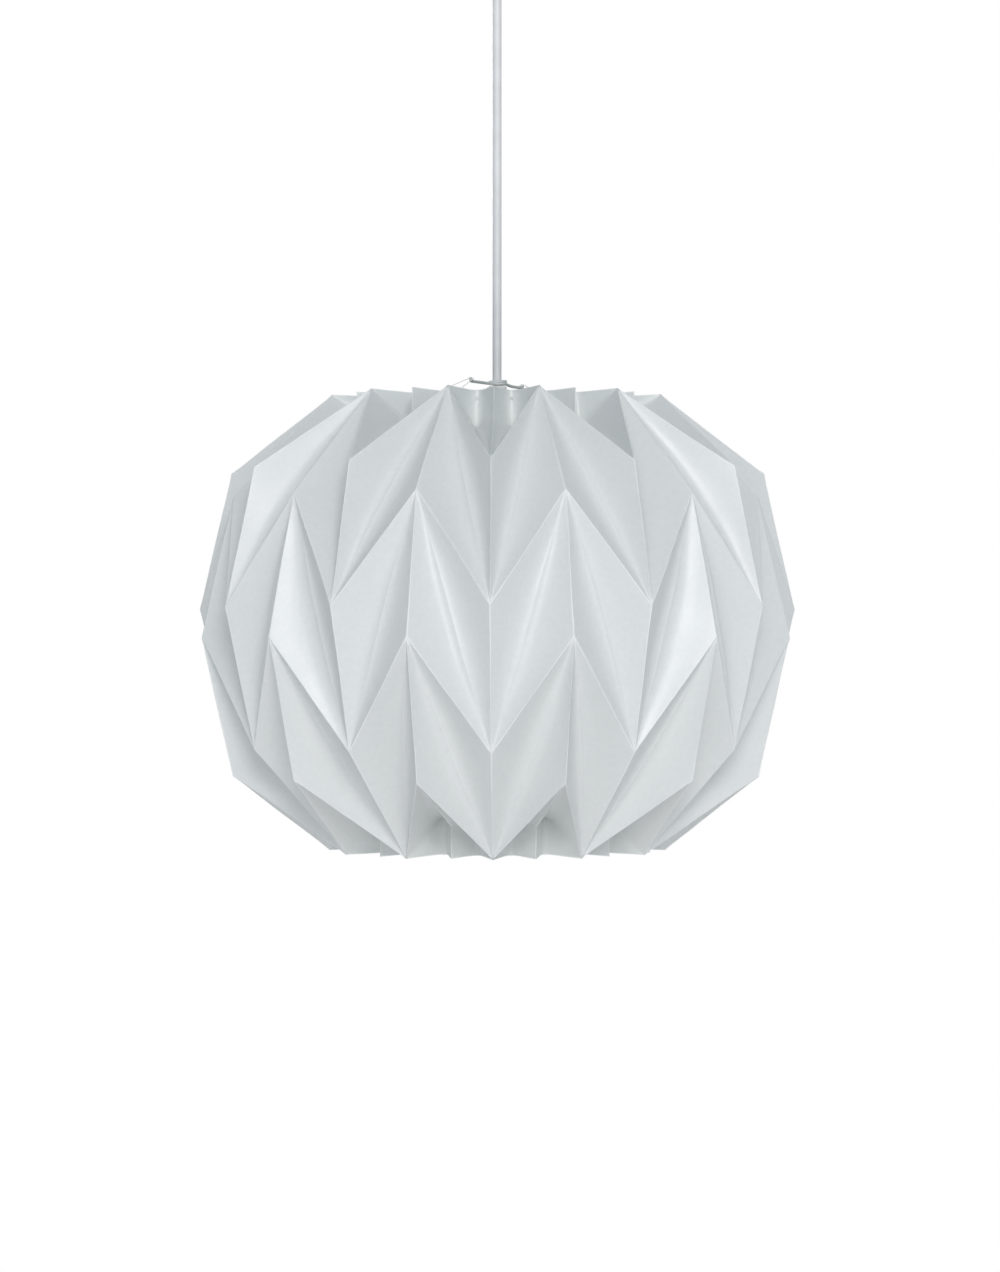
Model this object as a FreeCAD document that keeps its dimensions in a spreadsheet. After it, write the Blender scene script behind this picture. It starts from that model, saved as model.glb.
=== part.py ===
import FreeCAD, Part

import math
import os

import Sketcher

# A pleated paper pendant lampshade on its flex, with its lampholder, bulb and ceiling rose.
# Millimetres. The origin is the centre of the ceiling face, +Z is up, and all of it hangs below.
# Column 0 of the shade's folds faces -Y.

doc = FreeCAD.newDocument("paper_pendant")
size = doc.addObject("Spreadsheet::Sheet", "size")

SIZES = [
    # the folded shade: twelve repeats round, mirrored top to bottom with half a repeat of turn
    ("fold_count", 12, "repeats of the fold round the shade"),
    ("shade_drop", 477.0, "ceiling down to the shade's mid-plane"),
    ("rim_radius", 112.4, "tips of the zigzag at the rim"),
    ("rim_height", 151.2, "rim above the mid-plane"),
    ("shoulder_radius", 178.3, "shoulder corners"),
    ("shoulder_high", 100.6, "shoulder corner on an even column"),
    ("shoulder_low", 81.8, "shoulder corner on an odd column"),
    ("waist_radius", 199.0, "widest corners"),
    ("waist_height", 9.7, "widest corners above the mid-plane"),
    ("flap_radius", 105.0, "ridge of the flap between two rim tips"),
    ("flap_knee", 131.0, "height where the flap's ridge turns out to the shoulder"),
    ("pleat_radius", 79.0, "inner crease of the flap at the rim"),
    ("pleat_turn", 7.8, "inner crease, degrees from its ridge"),
    ("pleat_sink", 1.6, "inner crease's top below the rim"),
    ("pleat_knee", 123.0, "height where the inner crease turns out to the shoulder"),
    ("pleat_spread", 3.0, "inner crease further out at that height"),
    ("paper", 0.5, "paper with its coating"),
    # thread and carrier
    ("thread_diameter", 1.0, "draw thread"),
    ("thread_hole", 4.0, "punched holes for the thread"),
    ("thread_radius", 83.0, "thread's circle through the pleats"),
    ("thread_sink", 7.0, "thread below the rim"),
    ("wire_diameter", 2.0, "carrier wire"),
    ("carrier_rise", 9.0, "carrier wire above the rim"),
    ("carrier_reach", 33.5, "half the carrier's length"),
    ("carrier_hook", 2.5, "upturned end"),
    ("carrier_turn", -30.0, "carrier's direction, degrees round from column 0"),
    ("eye_radius", 5.8, "carrier's eye, to the wire's middle"),
    ("turn_gap", 0.2, "gap under the eye, on the neck"),
    # flex
    ("flex_diameter", 6.0, "round two-core flex"),
    ("core_diameter", 2.2, "insulated core"),
    ("core_offset", 1.4, "core's middle from the flex's middle"),
    # ceiling rose
    ("canopy_radius", 50.0, "canopy outside"),
    ("canopy_height", 34.0, "canopy, ceiling to underside"),
    ("sheet_metal", 1.2, "canopy wall"),
    ("strip", 2.0, "bracket strip thickness"),
    ("strip_width", 16.0, "bracket strip width"),
    ("bracket_half", 42.0, "half the bracket's length"),
    ("ear_depth", 14.0, "bracket ears, below the ceiling"),
    ("screw_spacing", 56.0, "ceiling screws, centre to centre"),
    ("slot_width", 4.6, "ceiling screw slots"),
    ("slot_length", 9.0, "ceiling screw slots, end to end"),
    ("cable_hole", 11.0, "bracket's hole for the house cable"),
    ("thumb_screw", 4.0, "canopy screws"),
    ("ear_screw_drop", 9.0, "canopy screws below the ceiling"),
    ("block_length", 22.0, "terminal block"),
    ("block_width", 12.0, "terminal block"),
    ("block_height", 11.0, "terminal block"),
    ("block_gap", 0.2, "terminal block below the bracket"),
    ("block_pitch", 10.0, "terminal block, way to way"),
    ("terminal_diameter", 4.4, "brass terminal outside"),
    ("terminal_bore", 2.6, "brass terminal bore"),
    ("terminal_screw", 2.4, "terminal screws"),
    ("terminal_screw_length", 2.8, "terminal screws"),
    ("thumb_head", 9.0, "canopy screws' heads"),
    ("thumb_head_length", 4.0, "canopy screws' heads"),
    ("thumb_reach", 3.0, "canopy screws past the bracket's ears"),
    ("nut_corner", 8.1, "gland nut, radius to its corners"),
    ("nut_height", 3.0, "gland nut"),
    # gland and swing bush
    ("gland_stem", 5.0, "gland's threaded stem, radius"),
    ("gland_stem_length", 10.0, "gland's stem above the canopy's floor underside"),
    ("gland_radius", 9.0, "gland below the canopy, radius"),
    ("gland_flange", 11.0, "gland's flange, radius"),
    ("flange_height", 3.0, "gland's flange"),
    ("pivot_drop", 43.0, "ceiling down to the swing centre"),
    ("bush_radius", 6.0, "swing bush, a ball cut flat at both ends"),
    ("bush_half", 2.5, "swing bush, half its height"),
    ("bush_bore", 3.8, "swing bush bore, radius"),
    ("socket_radius", 6.3, "gland's socket for the bush"),
    ("socket_roof", 4.6, "socket above the swing centre"),
    ("mouth_radius", 5.3, "gland's mouth"),
    ("mouth_drop", 6.0, "mouth below the swing centre"),
    ("gland_lip", 1.4, "gland's mouth, thickness of its lip"),
    ("gland_chamfer", 1.5, "gland's lower edge"),
    ("tail_gap", 3.6, "flex tail above the swing centre"),
    ("tail_rise", 2.0, "flex tail above the gland"),
    ("core_entry", 3.0, "cores into the terminals"),
    ("fit", 0.1, "clearance of a piece in its hole, each side"),
    # lampholder
    ("neck_radius", 6.5, "holder cap's neck"),
    ("neck_height", 14.0, "holder cap's neck"),
    ("holder_radius", 21.0, "holder cap at its widest"),
    ("cap_height", 48.0, "holder cap, neck included"),
    ("holder_wall", 2.0, "holder walls"),
    ("skirt_radius", 19.8, "skirt outside"),
    ("skirt_height", 40.0, "skirt below the holder cap"),
    ("skirt_overlap", 6.0, "skirt screwed into the cap"),
    ("shell_radius", 13.7, "contact shell, inside"),
    ("shell_height", 22.0, "contact shell"),
    ("brass_wall", 0.5, "brass sheet"),
    ("block_radius", 16.5, "contact block"),
    ("insert_height", 14.0, "contact block"),
    ("insert_screw", 3.0, "contact screws"),
    ("insert_way", 3.2, "contact block's holes"),
    ("insert_spread", 9.0, "contact screws from the middle"),
    ("shell_rim", 11.6, "contact shell's turned-in end, radius"),
    ("tongue_length", 12.0, "centre contact"),
    ("tongue_width", 5.0, "centre contact"),
    ("tongue_thick", 0.6, "centre contact"),
    ("skirt_lip", 1.4, "skirt's turned-in foot"),
    ("skirt_lip_height", 2.0, "skirt's turned-in foot"),
    ("skirt_collar", 3.0, "skirt's collar under the cap"),
    ("grip_hole", 3.0, "cord grip screw's hole"),
    ("grip_screw", 2.8, "cord grip screw"),
    ("grip_drop", 6.0, "cord grip screw below the neck's top"),
    ("flex_entry", 4.0, "flex past the neck, inside the cap"),
    # bulb with a 27 mm screw cap
    ("cap_radius", 13.1, "bulb cap outside"),
    ("cap_length", 23.0, "bulb cap"),
    ("bulb_radius", 30.0, "glass at its widest"),
    ("bulb_neck", 10.8, "glass neck, radius"),
    ("bulb_lean", 38.0, "slope of the glass from ball to neck, degrees"),
    ("bulb_length", 105.0, "bulb from tip to the bottom of its glass"),
    ("glass_wall", 0.8, "glass"),
    ("tip_radius", 4.6, "tip contact"),
    ("tip_height", 1.6, "tip contact"),
    ("tip_gap", 0.2, "gap between tip and insulator"),
    ("tip_sink", 1.6, "tip contact below the contact block"),
    ("stem_length", 38.0, "glass stem"),
    ("filament_radius", 0.9, "filament rods"),
    ("filament_length", 34.0, "filament rods"),
    ("filament_spread", 7.0, "filament rods from the middle"),
    ("filament_drop", 68.0, "filament rods' feet below the stem's top"),
    ("glass_entry", 6.0, "glass neck inside the cap"),
]

for row, (alias, number, note) in enumerate(SIZES, 1):
    size.set(f"A{row}", note)
    size.set(f"B{row}", str(number))
    size.setAlias(f"B{row}", alias)
doc.recompute()


def value(expression):
    """The number that a sheet expression comes to."""
    found = size.evalExpression(str(expression))
    return float(getattr(found, "Value", found))


# Heights of the main levels, as expressions, all measured from the ceiling
RIM = "(-size.shade_drop + size.rim_height)"
CARRIER = f"({RIM} + size.carrier_rise)"
NECK_TOP = f"({CARRIER} - size.wire_diameter / 2 - size.turn_gap)"
FLEX_END = f"({NECK_TOP} - size.neck_height - size.flex_entry)"
CAP_FOOT = f"({NECK_TOP} - size.cap_height)"
INSERT_FOOT = f"({CAP_FOOT} + size.skirt_overlap - size.insert_height)"
TIP_TOP = f"({INSERT_FOOT} - size.tip_sink)"
PIVOT = "(-size.pivot_drop)"

# Turned outlines: how far in from the widest radius, and how far up from the foot
CANOPY_EDGE = [(6.0, 0.0), (1.8, 1.8), (0.0, 6.0)]
CANOPY_EDGE_INSIDE = [(1.2, 6.4), (2.6, 2.6), (6.4, 1.2)]
DOME = [(0.0, 10.0), (1.5, 18.0), (5.0, 25.0), (10.0, 30.5)]
DOME_INSIDE = [(11.0, 28.0), (6.5, 23.0), (3.4, 17.0), (2.0, 10.0)]
# Turned outlines: radius, and height from the foot
STEM = [(0.0, 0.0), (1.8, 0.0), (2.2, 16.0), (3.2, 30.0), (9.5, 37.0), (9.5, 38.0), (0.0, 38.0)]
INSULATOR_RING = [(7.5, 1.5), (11.8, -1.6), (11.8, -2.6)]
CAP_BEAD = 12.1
CAP_MOUTH = 9.0

nodes = {}


def node(name, item):
    """Names a finished sub-part."""
    item.Label = name
    nodes[name] = item
    return item


def inset(radius, outline):
    """Sheet expressions for an outline given as distances in from a radius, and heights."""
    return [(f"{radius} - {inward}", str(height)) for inward, height in outline]


def place(item, x="0", y="0", z="0", turn=None):
    """Puts an object at x, y, z; turn is an axis and an angle in degrees."""
    if turn:
        axis, degrees = turn
        item.Placement = FreeCAD.Placement(FreeCAD.Vector(), FreeCAD.Rotation(FreeCAD.Vector(*axis), degrees))
    for letter, expression in zip("xyz", (x, y, z)):
        item.setExpression(f"Placement.Base.{letter}", str(expression))
    return item


# ---------- sketched pieces ----------


def origin_plane(body, role):
    return next(item for item in body.Origin.OriginFeatures if item.Role == role)


def new_sketch(body, name, role):
    sketch = body.newObject("Sketcher::SketchObject", name)
    sketch.AttachmentSupport = [(origin_plane(body, role), "")]
    sketch.MapMode = "FlatFace"
    return sketch


def fix_point(sketch, item, corner, across, up):
    """Ties a sketch point to its distances from the sketch's origin, each a sheet expression."""
    for kind, axis, expression in (("DistanceX", -2, across), ("DistanceY", -1, up)):
        amount = value(expression)
        if abs(amount) < 1e-9:
            sketch.addConstraint(Sketcher.Constraint("PointOnObject", item, corner, axis))
        elif amount > 0:
            number = sketch.addConstraint(Sketcher.Constraint(kind, -1, 1, item, corner, amount))
            sketch.setExpression(f"Constraints[{number}]", str(expression))
        else:
            number = sketch.addConstraint(Sketcher.Constraint(kind, item, corner, -1, 1, -amount))
            sketch.setExpression(f"Constraints[{number}]", f"-({expression})")


def draw_polygon(sketch, outline):
    """A closed outline; each corner is two sheet expressions."""
    corners = [FreeCAD.Vector(value(x), value(y), 0) for x, y in outline]
    count = len(corners)
    first = sketch.GeometryCount
    for number in range(count):
        sketch.addGeometry(Part.LineSegment(corners[number], corners[(number + 1) % count]))
    for number in range(count):
        after = first + (number + 1) % count
        sketch.addConstraint(Sketcher.Constraint("Coincident", first + number, 2, after, 1))
    for number, (x, y) in enumerate(outline):
        fix_point(sketch, first + number, 1, x, y)


def draw_circle(sketch, x, y, radius):
    circle = Part.Circle(FreeCAD.Vector(value(x), value(y), 0), FreeCAD.Vector(0, 0, 1), value(radius))
    number = sketch.addGeometry(circle)
    fix_point(sketch, number, 3, x, y)
    size_number = sketch.addConstraint(Sketcher.Constraint("Radius", number, value(radius)))
    sketch.setExpression(f"Constraints[{size_number}]", str(radius))


def turned(name, outline, z):
    """A body of revolution: outline is radius and height pairs above its own foot, which sits at z."""
    body = doc.addObject("PartDesign::Body", name)
    sketch = new_sketch(body, f"{name}_outline", "XZ_Plane")
    draw_polygon(sketch, outline)
    turn = body.newObject("PartDesign::Revolution", f"{name}_turn")
    turn.Profile = sketch
    turn.ReferenceAxis = (sketch, ["V_Axis"])
    turn.Angle = 360
    body.Tip = turn
    return place(body, z=z)


def pocket_through(body, sketch, name):
    """Cuts a sketch right through, both ways, and checks that something was cut."""
    doc.recompute()
    before = body.Shape.Volume
    pocket = body.newObject("PartDesign::Pocket", name)
    pocket.Profile = sketch
    pocket.Type = "ThroughAll"
    pocket.Midplane = True
    body.Tip = pocket
    doc.recompute()
    if body.Shape.Volume > before - 0.1:
        raise RuntimeError(f"{name} cut nothing")
    return pocket


# ---------- primitives and booleans ----------


def primitive(kind, name, sizes, x="0", y="0", z="0", turn=None):
    item = doc.addObject(f"Part::{kind}", name)
    for key, expression in sizes.items():
        item.setExpression(key, str(expression))
    return place(item, x, y, z, turn)


def cylinder(name, radius, height, x="0", y="0", z="0", turn=None):
    return primitive("Cylinder", name, {"Radius": radius, "Height": height}, x, y, z, turn)


def box(name, length, width, height, x="0", y="0", z="0"):
    return primitive("Box", name, {"Length": length, "Width": width, "Height": height}, x, y, z)


def cut(name, base, tool):
    item = doc.addObject("Part::Cut", name)
    item.Base = base
    item.Tool = tool
    return item


def fuse(name, pieces):
    item = doc.addObject("Part::MultiFuse", name)
    item.Shapes = pieces
    return item


def group(name, pieces):
    """Separate solids that share a node."""
    item = doc.addObject("Part::Compound", name)
    item.Links = pieces
    return item


ALONG_Y = ((1, 0, 0), -90)


# ---------- routes ----------


def rounded_route(points):
    """Straight runs joined by tangent arcs, each as large as its two runs allow."""
    edges = []
    radii = []
    start = points[0]
    for before, corner, after in zip(points, points[1:], points[2:]):
        back = before - corner
        ahead = after - corner
        half = (math.pi - back.getAngle(ahead)) / 2
        trim = 0.45 * min(back.Length, ahead.Length)
        radii.append(trim / math.tan(half))
        back = back.normalize()
        ahead = ahead.normalize()
        enter = corner + back * trim
        leave = corner + ahead * trim
        inside = (back + ahead).normalize()
        middle = corner + inside * (radii[-1] / math.cos(half) - radii[-1])
        edges.append(Part.LineSegment(start, enter).toShape())
        edges.append(Part.Arc(enter, middle, leave).toShape())
        start = leave
    edges.append(Part.LineSegment(start, points[-1]).toShape())
    return Part.Wire(edges), radii


def tube(name, points, radius):
    """A round wire or core along a rounded route."""
    route, radii = rounded_route([FreeCAD.Vector(*point) for point in points])
    start = route.OrderedVertexes[0].Point
    direction = route.OrderedEdges[0].tangentAt(route.OrderedEdges[0].FirstParameter)
    profile = Part.Wire([Part.Circle(start, direction, radius).toShape()])
    shape = route.makePipeShell([profile], True, False)
    expected = math.pi * radius**2 * route.Length
    print(f"{name}: length {route.Length:.1f}, radii {[round(r, 1) for r in radii]}, "
          f"volume against section x length {shape.Volume / expected:.3f}")
    item = doc.addObject("Part::Feature", name)
    item.Shape = shape
    return item


# ---------- ceiling rose ----------


def ceiling_bracket():
    """A strip folded down at both ends, with slots for the ceiling screws and a hole for the cable."""
    body = doc.addObject("PartDesign::Body", "bracket")
    half = "size.bracket_half"
    inner = "(size.bracket_half - size.strip)"
    staple = new_sketch(body, "bracket_staple", "XZ_Plane")
    draw_polygon(staple, [
        (f"-{half}", "-size.ear_depth"), (f"-{inner}", "-size.ear_depth"), (f"-{inner}", "-size.strip"),
        (inner, "-size.strip"), (inner, "-size.ear_depth"), (half, "-size.ear_depth"),
        (half, "0"), (f"-{half}", "0"),
    ])
    strip = body.newObject("PartDesign::Pad", "bracket_strip")
    strip.Profile = staple
    strip.Midplane = True
    strip.setExpression("Length", "size.strip_width")
    body.Tip = strip
    holes = new_sketch(body, "bracket_holes", "XY_Plane")
    draw_circle(holes, "0", "0", "size.cable_hole / 2")
    pocket_through(body, holes, "bracket_cable_hole")
    ears = new_sketch(body, "bracket_ears", "YZ_Plane")
    draw_circle(ears, "0", "-size.ear_screw_drop", "size.thumb_screw / 2")
    pocket_through(body, ears, "bracket_ear_holes")
    slots = [slot_cutter(number, f"{side}size.screw_spacing / 2") for number, side in enumerate(("-", ""))]
    node("ceiling_bracket", cut("bracket_slotted", body, fuse("slots", slots)))


def slot_cutter(number, middle):
    """A slot along X through the strip, centred on middle."""
    flat = "(size.slot_length - size.slot_width)"
    depth = "(size.strip + 2)"
    low = "(-size.strip - 1)"
    pieces = [box(f"slot_flat_{number}", flat, "size.slot_width", depth,
                  f"{middle} - {flat} / 2", "-size.slot_width / 2", low)]
    for end, side in enumerate(("-", "+")):
        pieces.append(cylinder(f"slot_end_{number}_{end}", "size.slot_width / 2", depth,
                               f"{middle} {side} {flat} / 2", "0", low))
    return fuse(f"slot_{number}", pieces)


def terminal_block():
    """A block with two ways up and down, a brass terminal in each and a screw to each."""
    top = "(-size.strip - size.block_gap)"
    foot = f"({top} - size.block_height)"
    middle = f"({top} - size.block_height / 2)"
    blank = box("block_blank", "size.block_length", "size.block_width", "size.block_height",
                "-size.block_length / 2", "-size.block_width / 2", foot)
    holes = []
    terminals = []
    screws = []
    for number, side in enumerate(("-", "")):
        x = f"{side}size.block_pitch / 2"
        holes.append(cylinder(f"block_way_{number}", "size.terminal_diameter / 2",
                              "size.block_height + 2", x, "0", f"{foot} - 1"))
        holes.append(cylinder(f"block_screw_hole_{number}", "size.terminal_screw / 2 + size.fit",
                              "size.block_width / 2 + 1", x, "-size.block_width / 2 - 1", middle, ALONG_Y))
        brass = cylinder(f"terminal_blank_{number}", "size.terminal_diameter / 2",
                         "size.block_height - 2", x, "0", f"{foot} + 1")
        bore = cylinder(f"terminal_bore_{number}", "size.terminal_bore / 2",
                        "size.block_height", x, "0", foot)
        terminals.append(cut(f"terminal_{number}", brass, bore))
        screws.append(cylinder(
            f"block_screw_{number}", "size.terminal_screw / 2", "size.terminal_screw_length",
            x, "-size.block_width / 2 + 0.6", middle, ALONG_Y,
        ))
    node("terminal_block", cut("block", blank, fuse("block_holes", holes)))
    node("block_terminals", group("terminals", terminals))
    node("block_screws", group("terminal_screws", screws))


def canopy():
    """A round cup against the ceiling, with a hole for the gland and one each side for its screws."""
    r, h, w = "size.canopy_radius", "size.canopy_height", "size.sheet_metal"
    hole = "(size.gland_stem + size.fit)"
    body = turned("canopy_cup", [
        (hole, "0"), *inset(r, CANOPY_EDGE), (r, h),
        (f"{r} - {w}", h), *inset(r, CANOPY_EDGE_INSIDE), (hole, w),
    ], f"-{h}")
    sides = new_sketch(body, "canopy_sides", "YZ_Plane")
    draw_circle(sides, "0", f"{h} - size.ear_screw_drop", "size.thumb_screw / 2 + 2 * size.fit")
    pocket_through(body, sides, "canopy_side_holes")
    node("canopy", body)


def canopy_screws():
    """A thumb screw each side, through the canopy into the bracket's ear."""
    screws = []
    for number, side in enumerate((-1, 1)):
        turn = ((0, 1, 0), 90 * side)
        sign = "-" if side < 0 else ""
        z = "-size.ear_screw_drop"
        start = "(size.bracket_half - size.strip - size.thumb_reach)"
        head_face = "(size.canopy_radius + size.fit / 2)"
        shank = cylinder(f"thumb_shank_{number}", "(size.thumb_screw - size.fit) / 2",
                         f"{head_face} - {start}", f"{sign}{start}", "0", z, turn)
        head = cylinder(f"thumb_head_{number}", "size.thumb_head / 2", "size.thumb_head_length",
                        f"{sign}{head_face}", "0", z, turn)
        screws.append(fuse(f"thumb_screw_{number}", [shank, head]))
    node("canopy_screws", group("thumb_screws", screws))


def cord_gland():
    """A turned gland through the canopy's floor: a stem, a flange and a socket for the swing bush."""
    foot = f"({PIVOT} - size.mouth_drop)"
    lip = "size.gland_lip"
    roof = "(size.mouth_drop + size.socket_roof)"
    flange = "(size.pivot_drop + size.mouth_drop - size.canopy_height)"
    bore = "(size.flex_diameter / 2 + size.fit)"
    node("cord_gland", turned("gland", [
        ("size.mouth_radius", "0"), ("size.gland_radius - size.gland_chamfer", "0"),
        ("size.gland_radius", "size.gland_chamfer"),
        ("size.gland_radius", f"{flange} - size.flange_height"),
        ("size.gland_flange", f"{flange} - size.flange_height"), ("size.gland_flange", flange),
        ("size.gland_stem", flange), ("size.gland_stem", f"{flange} + size.gland_stem_length"),
        (bore, f"{flange} + size.gland_stem_length"), (bore, roof), ("size.socket_radius", roof),
        ("size.socket_radius", lip), ("size.mouth_radius", lip),
    ], foot))
    floor = "(-size.canopy_height + size.sheet_metal)"
    sizes = {"Circumradius": "size.nut_corner", "Height": "size.nut_height"}
    blank = primitive("Prism", "nut_blank", sizes, z=floor)
    blank.Polygon = 6
    hole = cylinder("nut_hole", "size.gland_stem + size.fit / 2", "size.nut_height + 2", z=f"{floor} - 1")
    node("gland_nut", cut("nut", blank, hole))


def swing_bush():
    """A ball cut flat at both ends, bored for the flex, that lets the pendant swing."""
    ball = primitive("Sphere", "bush_ball", {"Radius": "size.bush_radius"}, z=PIVOT)
    slab = cylinder("bush_slab", "size.bush_radius + 1", "2 * size.bush_half", z=f"{PIVOT} - size.bush_half")
    both = doc.addObject("Part::Common", "bush_blank")
    both.Base = ball
    both.Tool = slab
    bore = cylinder("bush_hole", "size.bush_bore", "4 * size.bush_half", z=f"{PIVOT} - 2 * size.bush_half")
    node("swing_bush", cut("bush", both, bore))


def flex():
    """The flex hangs straight from the swing centre to the holder; its tail goes on to the terminals."""
    radius = "size.flex_diameter / 2"
    run = cylinder("flex_run", radius, f"{PIVOT} - {FLEX_END}", z=FLEX_END)
    ball = primitive("Sphere", "flex_end", {"Radius": radius}, z=PIVOT)
    node("flex", fuse("flex_solid", [run, ball]))
    low = f"({PIVOT} + size.tail_gap)"
    tail_top = "(-size.canopy_height + size.gland_stem_length + size.tail_rise)"
    node("flex_tail", cylinder("tail", radius, f"{tail_top} - {low}", z=low))
    print(f"flex: one straight run, {value(f'{PIVOT} - {FLEX_END}'):.1f} long")
    offset = value("size.core_offset")
    radius = value("size.core_diameter / 2")
    way = value("size.block_pitch / 2")
    foot = value(tail_top)
    block_foot = value("-size.strip - size.block_gap - size.block_height")
    rise = block_foot - foot
    for name, side in (("tail_core_live", -1), ("tail_core_neutral", 1)):
        node(name, tube(name, [
            (side * offset, 0, foot), (side * offset, 0, foot + 0.3 * rise),
            (side * way, 0, block_foot - 0.3 * rise), (side * way, 0, block_foot + value("size.core_entry")),
        ], radius))


# ---------- lampholder ----------


def lampholder():
    """Cap with a neck round the flex, and what is inside it."""
    holder_cap()
    holder_skirt()
    contact_block()
    offset = value("size.core_offset")
    spread = value("size.insert_spread")
    top = value(FLEX_END)
    foot = value(f"{INSERT_FOOT} + size.insert_height")
    drop = top - foot
    for name, side in (("holder_core_live", -1), ("holder_core_neutral", 1)):
        node(name, tube(name, [
            (side * offset, 0, top), (side * offset, 0, top - 0.16 * drop),
            (side * spread, 0, top - 0.41 * drop), (side * spread, 0, foot - 2.2),
        ], value("size.core_diameter / 2")))


def holder_cap():
    """A dome with a neck, bored for the flex, and the screw in its neck that grips the flex."""
    wall = "size.holder_wall"
    r = "size.holder_radius"
    h = "size.cap_height"
    neck = "size.neck_radius"
    bore = "(size.flex_diameter / 2 + size.fit)"
    shoulder = f"({h} - size.neck_height)"
    dome = turned("cap_dome", [
        (f"{r} - {wall}", "0"), (r, "0"), *inset(r, DOME), (neck, shoulder), (neck, f"{h} - 0.8"),
        (f"{neck} - 0.8", h), (bore, h), (bore, f"{shoulder} - 2"), (f"{neck} - 0.5", f"{shoulder} - 3"),
        *inset(r, DOME_INSIDE),
    ], CAP_FOOT)
    screw_z = f"({NECK_TOP} - size.grip_drop)"
    hole = cylinder("grip_bore", "size.grip_hole / 2", "size.neck_radius", "0", "-size.neck_radius - 1",
                    screw_z, ALONG_Y)
    node("holder_cap", cut("cap_bored", dome, hole))
    length = f"{neck} - size.flex_diameter / 2 - 2 * size.fit"
    node("grip_screw", cylinder("grip", "size.grip_screw / 2", length, "0", f"-{neck} + size.fit",
                                screw_z, ALONG_Y))


def holder_skirt():
    """A sleeve screwed up into the cap, with a collar under the cap and a foot turned in."""
    wall = "size.holder_wall"
    r = "size.holder_radius"
    inner = "size.skirt_radius"
    height = "size.skirt_height"
    total = f"({height} + size.skirt_overlap)"
    mouth = f"{inner} - {wall} - size.skirt_lip"
    thread = f"{r} - {wall} - size.fit"
    inside = f"{inner} - {wall} - 0.6"
    node("holder_skirt", turned("skirt", [
        (mouth, "0"), (f"{inner} - 0.6", "0"), (inner, "0.6"), (inner, f"{height} - size.skirt_collar"),
        (r, f"{height} - size.skirt_collar"), (r, f"{height} - size.fit"), (thread, f"{height} - size.fit"),
        (thread, total), (inside, total), (inside, "size.skirt_lip_height"), (mouth, "size.skirt_lip_height"),
    ], f"{CAP_FOOT} - {height}"))


def contact_block():
    """The block that carries the screwed shell, the centre contact and the two contact screws."""
    face = "(size.block_radius - 2 * size.fit)"
    block = turned("insert", [
        ("0", "0"), (face, "0"), (face, "size.insert_height"), ("0", "size.insert_height"),
    ], INSERT_FOOT)
    ways = new_sketch(block, "insert_ways", "XY_Plane")
    for side in ("-", ""):
        draw_circle(ways, f"{side}size.insert_spread", "0", "size.insert_way / 2")
    pocket_through(block, ways, "insert_way_holes")
    node("contact_block", block)
    shell = "size.shell_radius"
    brass = "size.brass_wall"
    rim = "size.shell_rim"
    node("contact_shell", turned("shell", [
        (shell, "0"), (f"{shell} + {brass}", "0"), (f"{shell} + {brass}", "size.shell_height"),
        (rim, "size.shell_height"), (rim, f"size.shell_height - {brass}"),
        (shell, f"size.shell_height - {brass}"),
    ], f"{INSERT_FOOT} - size.shell_height"))
    node("centre_contact", box("tongue", "size.tongue_length", "size.tongue_width", "size.tongue_thick",
                               "-size.tongue_length / 2", "-size.tongue_width / 2",
                               f"{INSERT_FOOT} - size.tongue_thick"))
    screws = [
        cylinder(f"holder_screw_{number}", "size.insert_screw / 2", "size.insert_height - 3",
                 f"{side}size.insert_spread", "0", f"{INSERT_FOOT} + 2 * size.fit")
        for number, side in enumerate(("-", ""))
    ]
    node("holder_screws", group("contact_screws", screws))


# ---------- bulb ----------


def bulb():
    """Screw-cap bulb: glass, cap, insulator, tip contact, stem and filaments."""
    tip_foot = f"({TIP_TOP} - size.tip_height)"
    node("bulb_tip", cylinder("tip", "size.tip_radius", "size.tip_height", z=tip_foot))
    ring = "(size.tip_radius + size.tip_gap)"
    last = INSULATOR_RING[-1][1]
    node("bulb_insulator", turned("insulator", [
        (ring, "0.3"), (ring, "1.5"), *[(str(x), str(y)) for x, y in INSULATOR_RING], ("0", str(last)),
        ("0", "-0.3"), (ring, "-0.3"),
    ], tip_foot))
    cap_top = f"({tip_foot} + {last} - size.fit)"
    r = "size.cap_radius"
    wall = "size.brass_wall"
    length = "size.cap_length"
    node("bulb_cap", turned("screw_cap", [
        (f"{r} - {wall}", "0"), (r, "0"), (r, f"{length} - 1"), (str(CAP_BEAD), length),
        (str(CAP_MOUTH), length), (str(CAP_MOUTH), f"{length} - {wall}"),
        (f"{r} - {wall}", f"{length} - 1.6"),
    ], f"{cap_top} - {length}"))
    glass_top = f"({cap_top} - {length} + size.glass_entry)"
    glass_foot = f"({TIP_TOP} - size.bulb_length)"
    height = f"({glass_top} - {glass_foot})"
    outside = glass_form("outside", "0", glass_foot, height)
    inside = glass_form("inside", "size.glass_wall", glass_foot, f"({height} + 1)")
    node("bulb_glass", cut("glass", outside, inside))
    stem_top = f"({glass_top} - 4 * size.fit)"
    node("bulb_stem", turned("stem", [(str(x), str(y)) for x, y in STEM], f"{stem_top} - size.stem_length"))
    rods = []
    for number in range(4):
        angle = f"{45 + 90 * number} deg"
        rods.append(cylinder(
            f"filament_{number}", "size.filament_radius", "size.filament_length",
            f"size.filament_spread * cos({angle})", f"size.filament_spread * sin({angle})",
            f"{stem_top} - size.filament_drop",
        ))
    node("bulb_filaments", group("filaments", rods))


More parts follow.
